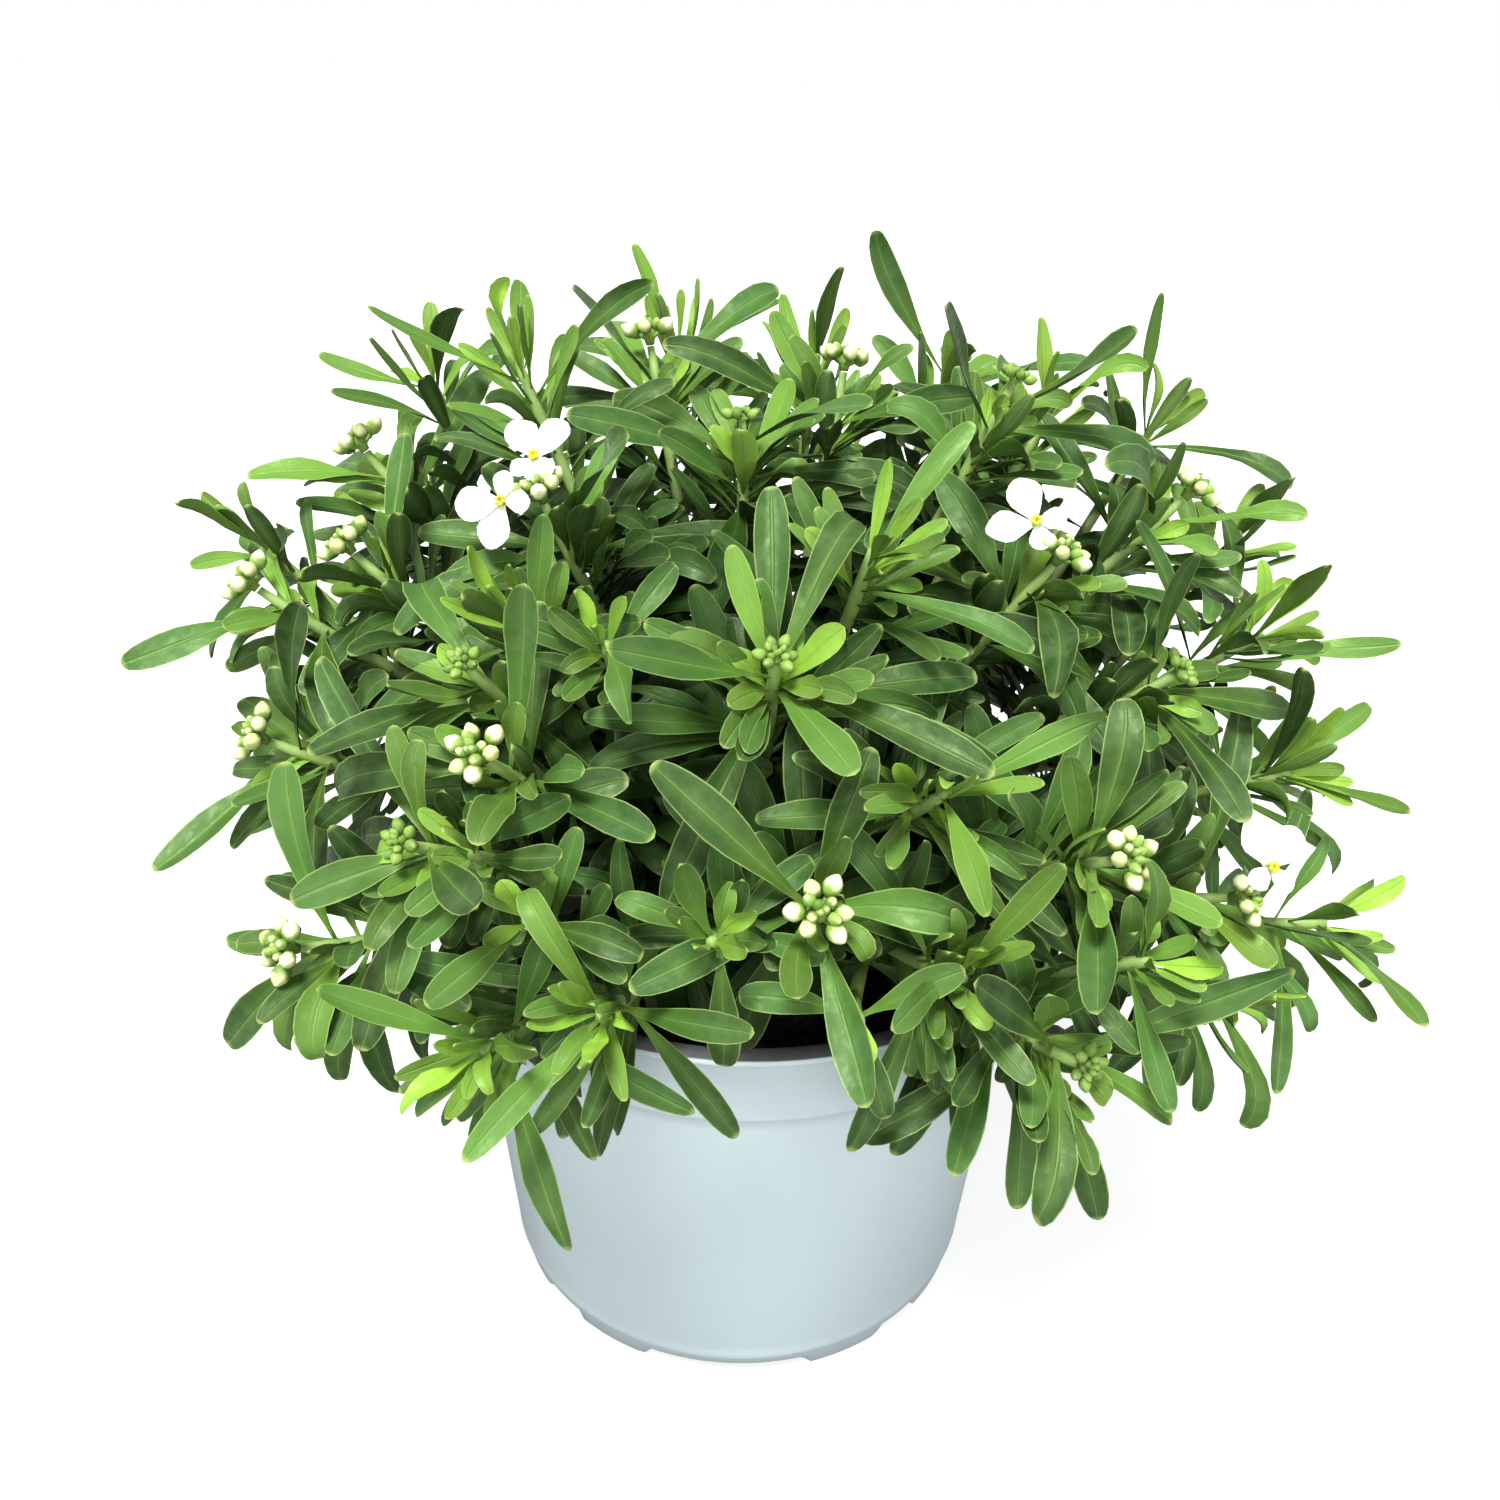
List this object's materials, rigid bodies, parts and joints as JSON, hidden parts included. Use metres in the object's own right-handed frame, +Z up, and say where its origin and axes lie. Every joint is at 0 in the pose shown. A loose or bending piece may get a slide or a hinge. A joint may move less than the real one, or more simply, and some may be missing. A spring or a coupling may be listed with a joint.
{
  "type": "potted evergreen candytuft",
  "caption": "Evergreen candytuft in bud: a dense mound of narrow-leaved shoots with cream bud clusters and a few open white flowers, in a pale round nursery pot.",
  "frame": {"origin": "centre of the flat pad under the pot, on the surface that the pot stands on", "axes": "+Z up along the pot's axis; -Y towards the viewer of the picture, +X to the viewer's right"},
  "size_m": [0.2482, 0.228, 0.223],
  "materials": {
    "pot": "soft satin, thin thermoformed plastic, pale grey blue outside",
    "soil": "loose damp peat, matt",
    "leaf": "living leaf and stem, leathery, half gloss",
    "young_leaf": "young living leaf and stem, half gloss",
    "bud": "living flower buds and petals, matt"
  },
  "bodies": {
    "root": {"pot": "pot", "soil": "soil", "shoot_01": "leaf", "shoot_02": "leaf", "head_02": "bud", "shoot_03": "leaf", "head_03": "bud", "shoot_04": "leaf", "shoot_05": "leaf", "shoot_06": "leaf", "head_06": "bud", "shoot_07": "leaf", "head_07": "bud", "shoot_08": "leaf", "head_08": "bud", "shoot_09": "leaf", "head_09": "bud", "shoot_10": "leaf", "head_10": "bud", "shoot_11": "leaf", "shoot_12": "leaf", "head_12": "bud", "shoot_13": "leaf", "head_13": "bud", "shoot_14": "leaf", "shoot_15": "leaf", "head_15": "bud", "shoot_16": "leaf", "head_16": "bud", "shoot_17": "leaf", "head_17": "bud", "shoot_18": "leaf", "head_18": "bud", "shoot_19": "leaf", "shoot_20": "leaf", "shoot_21": "young_leaf", "shoot_22": "leaf", "head_22": "bud", "shoot_23": "young_leaf", "shoot_24": "young_leaf", "shoot_25": "young_leaf", "shoot_26": "young_leaf", "shoot_27": "young_leaf", "shoot_28": "young_leaf", "shoot_29": "young_leaf", "shoot_30": "young_leaf", "shoot_31": "young_leaf", "shoot_32": "leaf", "head_32": "bud", "shoot_33": "young_leaf", "shoot_34": "leaf", "shoot_35": "leaf", "head_35": "bud", "shoot_36": "young_leaf", "shoot_37": "leaf", "shoot_38": "young_leaf", "shoot_39": "young_leaf", "shoot_40": "leaf", "shoot_41": "young_leaf", "shoot_42": "young_leaf"}
  },
  "joints": []
}
